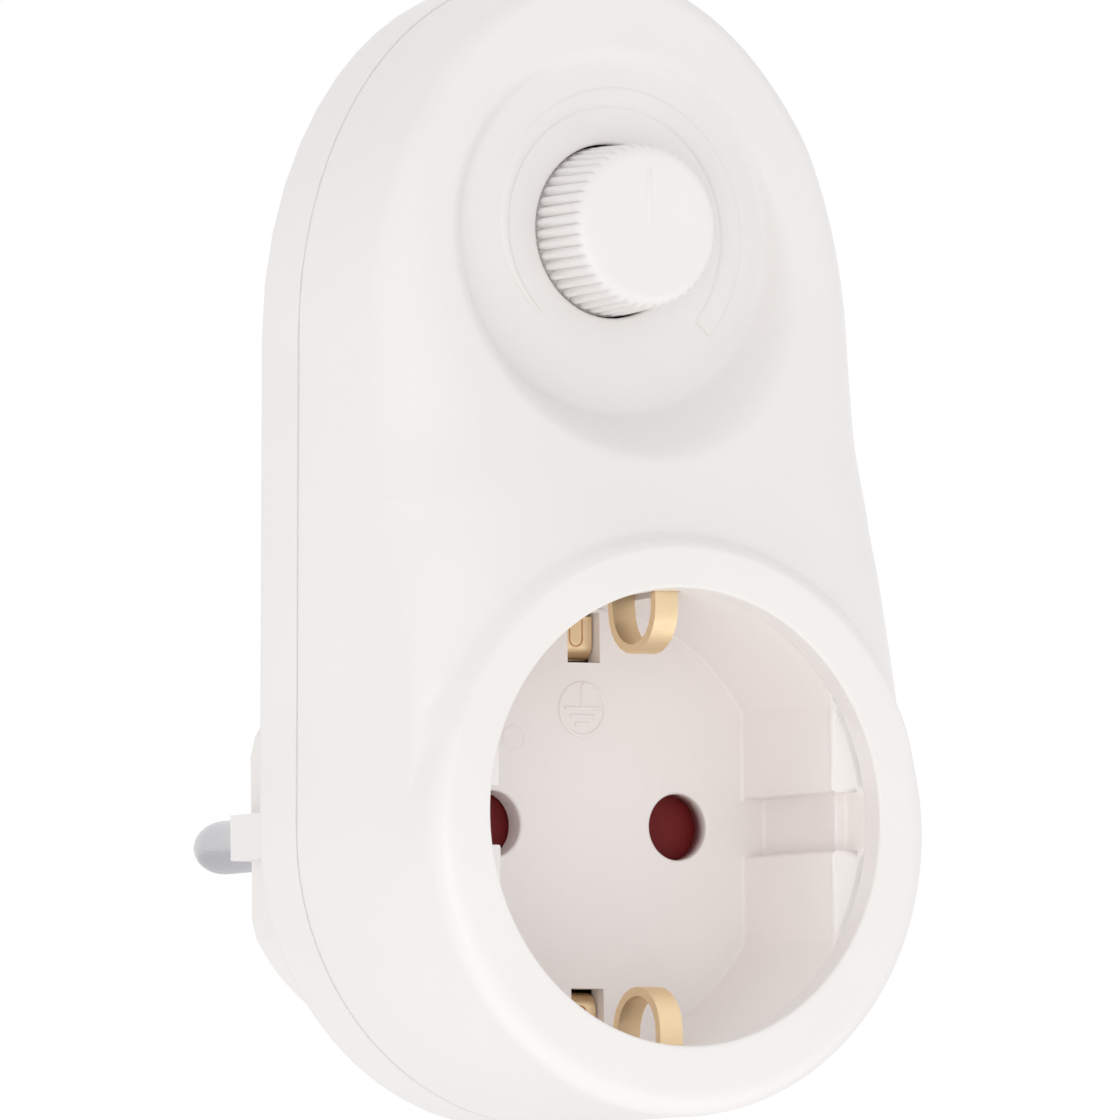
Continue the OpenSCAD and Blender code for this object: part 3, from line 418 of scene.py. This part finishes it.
def knobSpoke(turn, end, meets):
    s = shell
    c, n = math.cos(turn), math.sin(turn)
    edge = arc(s["holeR"] + s["holeEdge"], s["dishH"] - s["holeEdge"], s["holeEdge"], 180, 90, 3)
    points = [(s["holeR"], s["holeH"]), (s["holeR"], s["dishH"] - s["holeWall"])] + edge
    points += [(r, s["dishH"]) for r in s["floorRings"]]
    for k in range(s["rimRings"]):
        points.append((points[-1][0] + s["rimStep"], None))
    out = points[-1][0]
    for e in easedEnds(s["faceRings"])[1:]:
        points.append((end if e == 1 else out + (end - out) * e, None))
    placed = []
    for r, h in points:
        x, up = r * c, s["knobUp"] + r * n
        if h is None:
            h = smoothMin(dishH(math.hypot(x, up - s["dishUp"])), skinH(x, up), s["dishRim"])
        if r == end and not meets:
            h = crown(up) - edgeAt(up)
        placed.append(at(x, up, h))
    return placed


def frontShell():
    s = shell
    bm = bmesh.new()
    spoke = bm.verts.layers.int.new("spoke")
    cornerX = rayEnd(s["meetUp"], 0, s["draft"])
    corner = math.atan2(s["meetUp"] + s["footDrop"], cornerX)
    meetCount = s["meetSpokes"]
    restCount = s["socketSpokes"] - meetCount
    meetX = [cornerX * math.cos(math.pi * k / meetCount) for k in range(meetCount + 1)]
    meetTurns = [math.atan2(s["meetUp"] + s["footDrop"], x) for x in meetX]
    restTurns = [math.pi - corner + (math.pi + 2 * corner) * k / restCount for k in range(1, restCount)]
    fan = [socketSpoke(t) for t in meetTurns + restTurns]
    growRings(bm, spoke, list(zip(*fan)))
    knobTurns = []
    fall = s["meetUp"] - s["knobUp"]
    for x in meetX:
        inner = abs(x) < cornerX - s["near"]
        knobTurns.append((math.atan2(fall, x), math.hypot(x, fall), inner))
    first, last = knobTurns[0][0], knobTurns[-1][0]
    for k in range(1, s["upperSpokes"]):
        t = last - (2 * math.pi - first + last) * k / s["upperSpokes"]
        knobTurns.append((t, rayEnd(s["knobUp"], t, s["draft"]), False))
    fan = [knobSpoke(t, r, meets) for t, r, meets in knobTurns]
    growRings(bm, spoke, list(zip(*fan)))
    bmesh.ops.remove_doubles(bm, verts=bm.verts, dist=s["merge"] * mm)
    return bm


def rimEdges(bm):
    return [e for e in bm.edges if len(e.link_faces) == 1 and
            all(outlineAt(v.co.x / mm, v.co.z / mm)[0] < shell["rimReach"] for v in e.verts)]


# side wall: the rim runs back to the parting line, widening with the mould's draft, with a softened end
def addSide(bm):
    s = shell
    edges = rimEdges(bm)
    steps = s["sideSteps"]
    ends = [(1 / (steps - k), s["rimInset"], s["partH"] + s["groove"]) for k in range(steps)]
    ends.append((s["grooveShare"], s["rimInset"] + s["grooveTurn"] * s["groove"], s["partH"]))
    ends.append((1, s["rimInset"] + s["groove"], s["partH"]))
    for share, goal, low in ends:
        grown = bmesh.ops.extrude_edge_only(bm, edges=edges)["geom"]
        fresh = set(newVerts(grown))
        for v in fresh:
            x, up, h = v.co.x / mm, v.co.z / mm, -v.co.y / mm
            inset, turn, side = outlineAt(x, up)
            move = (inset - goal) * share
            v.co = at(x + side * move * math.cos(turn), up + move * math.sin(turn), h + (low - h) * share)
        edges = [g for g in grown if isinstance(g, bmesh.types.BMEdge) and fresh.issuperset(g.verts)]


bm = frontShell()
addSide(bm)
bmesh.ops.recalc_face_normals(bm, faces=bm.faces)
print("front shell:", len(bm.verts), "points")
front = finishPiece("frontShell", bm, "front_shell", "housing", sharp=shell["sharp"])
thicken = front.modifiers.new("wall", "SOLIDIFY")
thicken.thickness = shell["wall"] * mm
thicken.offset = -1
thicken.edge_crease_outer = 1
rounder = front.modifiers.new("smooth", "SUBSURF")
rounder.levels = 1
rounder.render_levels = 1

softCopy("rear_shell", "rearShell", "housing", width=0.15)

# edges inside the recess, but not those of the mouth, the flats' ends, the slots and the windows
recess = dict(low=30.9, high=44, slotX=2.3, slotUp=13.5)


def recessEdge(middle):
    beside = abs(middle.x) > recess["slotX"] or abs(middle.z) < recess["slotUp"]
    return recess["low"] < -middle.y < recess["high"] and beside


softCopy("socket_insert", "socketInsert", "housing", width=0.3, segments=3, picked=recessEdge)

# knob: ribs that run up to the rounded cap, drawn as rings over the ribs' own spokes
knob = dict(up=51.5, foot=34.8, footR=6.2, skirt=35.5, skirtStep=0.25, top=42.7, r=7.45, capR=7.12, cut=0.65,
            land=0.14, ribs=45, perRib=6, round=1.2, soft=0.12, hollowR=5.4, roof=41.2,
            capRings=(4.6, 2.8, 1.0), sharp=50)


def ribR(phase):
    reach = min(phase, 1 - phase)
    t = max(0, (reach - knob["land"]) / (0.5 - knob["land"]))
    return knob["r"] - knob["cut"] * t


def makeKnob():
    k = knob
    bm = bmesh.new()
    spoke = bm.verts.layers.int.new("spoke")
    count = k["ribs"] * k["perRib"]
    start = k["skirt"] + k["skirtStep"]
    slope = [(k["r"] + (k["capR"] - k["r"]) * t, start + (k["top"] - k["round"] - start) * t)
             for t in (0, 0.25, 0.5, 0.75)]
    edge = arc(k["capR"] - k["round"], k["top"] - k["round"], k["round"], 0, 90, 7)
    inside = [(k["hollowR"], k["roof"]), (k["hollowR"], k["foot"]), (k["footR"], k["foot"])]
    outside = [(k["r"], k["foot"]), (k["r"], k["skirt"])]
    outside += slope + edge + [(r, k["top"]) for r in k["capRings"]]
    rings = []
    for r, h in inside + outside:
        ring = []
        for i in range(count):
            turn = 2 * math.pi * i / count
            rib = k["r"] if h <= k["skirt"] else ribR((i % k["perRib"]) / k["perRib"])
            reach = smoothMin(r, rib, k["soft"])
            ring.append(at(reach * math.cos(turn), k["up"] + reach * math.sin(turn), h))
        rings.append(ring)
    edges = growRings(bm, spoke, rings)
    bmesh.ops.edgeloop_fill(bm, edges=edges)
    roof = [e for e in bm.edges if len(e.link_faces) == 1]
    bmesh.ops.edgeloop_fill(bm, edges=roof)
    bmesh.ops.recalc_face_normals(bm, faces=bm.faces)
    return bm


finishPiece("dimmerKnob", makeKnob(), "dimmer_knob", "knob", sharp=knob["sharp"])


# shares of a mark's rise and width that its edges take up
mark = dict(bar=0.3, ringSide=0.6, ringEdge=0.2, ringSteps=48)


# a bar standing on a plane that faces the front, softened at its edges
def addBar(bm, x, up, h, wide, high, rise):
    fresh = bmesh.ops.create_cube(bm, size=1)["verts"]
    size = Matrix.Diagonal((wide * mm, rise * mm, high * mm, 1))
    bmesh.ops.transform(bm, matrix=Matrix.Translation(at(x, up, h)) @ size, verts=fresh)
    bmesh.ops.bevel(bm, geom=edgesOf(fresh), offset=mark["bar"] * rise * mm, offset_type="OFFSET",
                    affect="EDGES", segments=2, profile=0.5, material=-1)


# a flat ring standing on such a plane
def addRing(bm, spoke, x, up, h, r, wide, rise):
    side = mark["ringSide"] * rise
    edge = mark["ringEdge"] * wide
    steps = [(r, -rise), (r, side), (r - edge, rise),
             (r - wide + edge, rise), (r - wide, side), (r - wide, -rise)]
    count = mark["ringSteps"]
    turns = [2 * math.pi * k / count for k in range(count)]
    rings = [[at(x + q * math.cos(t), up + q * math.sin(t), h + z) for t in turns] for q, z in steps]
    growRings(bm, spoke, rings)


# pointer on the cap
pointer = dict(low=0.4, high=4.9, wide=0.5, rise=0.1)
bm = bmesh.new()
addBar(bm, 0, knob["up"] + (pointer["low"] + pointer["high"]) / 2, knob["top"], pointer["wide"],
       pointer["high"] - pointer["low"], pointer["rise"])
finishPiece("knobPointer", bm, "dimmer_knob", "knob", keepNode=True)

# wedge-shaped level scale on the dish floor, thickening clockwise
scale = dict(first=-135.0, last=132.0, inner=10.2, innerGrow=1.1, outer=10.6, outerGrow=2.8, rise=0.16,
             edge=0.3, edgeShare=0.3, shoulder=0.4, lifts=(-0.1, 0.6, 1, 1, 0.6, -0.1), root=0.2, steps=90)
rows = len(scale["lifts"]) - 1
bm = bmesh.new()
bmesh.ops.create_grid(bm, x_segments=scale["steps"], y_segments=rows, size=0.5)
for v in bm.verts:
    f = v.co.x + 0.5
    row = round((v.co.y + 0.5) * rows)
    a = math.radians(90 - scale["first"] - (scale["last"] - scale["first"]) * f)
    low = scale["inner"] + scale["innerGrow"] * f
    high = scale["outer"] + scale["outerGrow"] * math.sin(math.pi / 2 * f)
    soft = min(scale["edge"], scale["edgeShare"] * (high - low))
    half = scale["shoulder"] * soft
    r = (low, low + half, low + soft, high - soft, high - half, high)[row]
    lift = scale["lifts"][row] * scale["rise"]
    v.co = at(r * math.cos(a), shell["knobUp"] + r * math.sin(a), shell["dishH"] + lift)
ends = [e for e in bm.edges if len(e.link_faces) == 1]
grown = bmesh.ops.extrude_edge_only(bm, edges=ends)["geom"]
bmesh.ops.translate(bm, verts=newVerts(grown), vec=(0, scale["root"] * mm, 0))
bmesh.ops.recalc_face_normals(bm, faces=bm.faces)
finishPiece("levelScale", bm, "front_shell", "housing", keepNode=True)

# earth sign and ejector mark, raised on the recess floor
sign = dict(x=-0.2, up=10.1, r=2.45, line=0.32, rise=0.14, floor=31.0, bars=(3.6, 2.6, 1.6), first=0.1,
            step=0.68, gap=0.1)
ejector = dict(x=-7.2, up=7.5, r=1.15, line=0.16, rise=0.05)
bm = bmesh.new()
spoke = bm.verts.layers.int.new("spoke")
for m in (sign, ejector):
    addRing(bm, spoke, m["x"], m["up"], sign["floor"], m["r"], m["line"], m["rise"])
stem = sign["r"] - sign["gap"] - sign["first"]
addBar(bm, sign["x"], sign["up"] + sign["first"] + stem / 2, sign["floor"], sign["line"], stem,
       2 * sign["rise"])
for k, wide in enumerate(sign["bars"]):
    addBar(bm, sign["x"], sign["up"] + sign["first"] - k * sign["step"], sign["floor"], wide, sign["line"],
           2 * sign["rise"])
bmesh.ops.recalc_face_normals(bm, faces=bm.faces)
finishPiece("earthSign", bm, "socket_insert", "housing", keepNode=True)

softCopy("child_shutter", "childShutter", "shutter", width=0.15)
softCopy("earth_strip_top", "earthStripTop", "housing", width=0.12)
softCopy("earth_strip_bottom", "earthStripBottom", "housing", width=0.12)

# thin copper tube round a tab in each earth plate: painted shade standing in for the dark line of the groove
# pressed there
tab = dict(x=-0.17, r=0.64, low=15.67, high=18.2, face=30.0, line=0.06, bendSteps=10, sides=8)


def tabLine(r, h, side):
    bend = arc(tab["x"], tab["low"] + tab["r"], r, 180, 360, tab["bendSteps"])
    path = [(tab["x"] - r, tab["high"])] + bend + [(tab["x"] + r, tab["high"])]
    return [at(x, side * up, h) for x, up in path]


bm = bmesh.new()
spoke = bm.verts.layers.int.new("spoke")
turns = [2 * math.pi * k / tab["sides"] for k in range(tab["sides"])]
for side in (1, -1):
    lines = [tabLine(tab["r"] + tab["line"] * math.cos(t), tab["face"] + tab["line"] * math.sin(t), side)
             for t in turns]
    growRings(bm, spoke, list(zip(*lines)))
bmesh.ops.edgeloop_fill(bm, edges=[e for e in bm.edges if len(e.link_faces) == 1])
bmesh.ops.recalc_face_normals(bm, faces=bm.faces)
# the darker copper finish on the tube is painted shade for the pressed groove, not the plate's own colour
finishPiece("earthTabGrooveShade", bm, "earth_strip_top", "housing", slot="copper", keepNode=True)

softCopy("plug_pin_line", "plugPinLine", "housing", width=0)
softCopy("plug_pin_neutral", "plugPinNeutral", "housing", width=0)
print("softened copies made")

# camera, floor and light
view = dict(turn=31.45, lift=-3.73, roll=-0.63, right=-2.23, up=23.11, aim=(0, -31, 0), distance=1300,
            scale=11.488, pixels=1120, sensor=36, near=0.05, far=20)


def placeCamera():
    turn, lift, roll = (math.radians(view[k]) for k in ("turn", "lift", "roll"))
    back = Vector((-math.sin(turn) * math.cos(lift), -math.cos(turn) * math.cos(lift), math.sin(lift)))
    right = Vector((0, 0, 1)).cross(back).normalized()
    up = back.cross(right)
    across = math.cos(roll) * right + math.sin(roll) * up
    over = -math.sin(roll) * right + math.cos(roll) * up
    spot = (Vector(view["aim"]) + across * view["right"] + over * view["up"] + back * view["distance"]) * mm
    lens = bpy.data.cameras.new("photoView")
    lens.sensor_width = view["sensor"]
    lens.lens = view["scale"] * view["distance"] / view["pixels"] * view["sensor"]
    lens.clip_start = view["near"]
    lens.clip_end = view["far"]
    camera = bpy.data.objects.new("photoView", lens)
    turned = Matrix((across, over, back)).transposed().to_4x4()
    camera.matrix_world = Matrix.Translation(spot) @ turned
    bpy.context.scene.collection.objects.link(camera)
    bpy.context.scene.camera = camera


placeCamera()

stage = dict(floor=-0.45, size=3.0, colour=(0.93, 0.93, 0.93), rough=0.9)


def floorFinish():
    finish = bpy.data.materials.new("paleFloor")
    finish.use_nodes = True
    shader = finish.node_tree.nodes["Principled BSDF"]
    shader.inputs["Base Color"].default_value = (*stage["colour"], 1)
    shader.inputs["Roughness"].default_value = stage["rough"]
    return finish


def makeFloor():
    bm = bmesh.new()
    bmesh.ops.create_grid(bm, x_segments=2, y_segments=2, size=stage["size"])
    bmesh.ops.translate(bm, verts=bm.verts, vec=(0, 0, stage["floor"]))
    mesh = bpy.data.meshes.new("floor")
    bm.to_mesh(mesh)
    bm.free()
    mesh.materials.append(floorFinish())
    floor = bpy.data.objects.new("floor", mesh)
    bpy.context.scene.collection.objects.link(floor)


makeFloor()

lampAim = Vector((0, -0.03, 0.02))
lamps = {
    "keySoft": dict(spot=(-0.35, -0.38, -0.12), size=0.4, power=0.48, colour=(1, 0.965, 0.915)),
    "rightSoft": dict(spot=(0.35, -0.3, -0.3), size=0.5, power=0.42, colour=(1, 0.985, 0.965)),
    "lowSoft": dict(spot=(-0.2, -0.12, -0.4), size=0.4, power=0.26, colour=(1, 0.985, 0.965)),
}
for name, lamp in lamps.items():
    data = bpy.data.lights.new(name, "AREA")
    data.shape = "DISK"
    data.size = lamp["size"]
    data.energy = lamp["power"]
    data.color = lamp["colour"]
    light = bpy.data.objects.new(name, data)
    spot = Vector(lamp["spot"])
    light.location = spot
    light.rotation_euler = (lampAim - spot).to_track_quat("-Z", "Y").to_euler()
    bpy.context.scene.collection.objects.link(light)

# the world lights the part a little less than the white that the camera and reflections see
studio = dict(tint=(0.97, 0.985, 1), lit=0.88, white=(1, 1, 1), shown=1)
world = bpy.data.worlds.new("studio")
bpy.context.scene.world = world
world.use_nodes = True
nodes, links = world.node_tree.nodes, world.node_tree.links
lit = nodes["Background"]
lit.inputs["Color"].default_value = (*studio["tint"], 1)
lit.inputs["Strength"].default_value = studio["lit"]
shown = nodes.new("ShaderNodeBackground")
shown.inputs["Color"].default_value = (*studio["white"], 1)
shown.inputs["Strength"].default_value = studio["shown"]
rays = nodes.new("ShaderNodeLightPath")
seen = rays.outputs["Is Camera Ray"]
for kind in ("Is Glossy Ray", "Is Transmission Ray"):
    both = nodes.new("ShaderNodeMath")
    both.operation = "MAXIMUM"
    links.new(seen, both.inputs[0])
    links.new(rays.outputs[kind], both.inputs[1])
    seen = both.outputs["Value"]
mix = nodes.new("ShaderNodeMixShader")
links.new(seen, mix.inputs["Fac"])
links.new(lit.outputs["Background"], mix.inputs[1])
links.new(shown.outputs["Background"], mix.inputs[2])
links.new(mix.outputs["Shader"], nodes["World Output"].inputs["Surface"])
bpy.context.scene.view_settings.view_transform = "Standard"
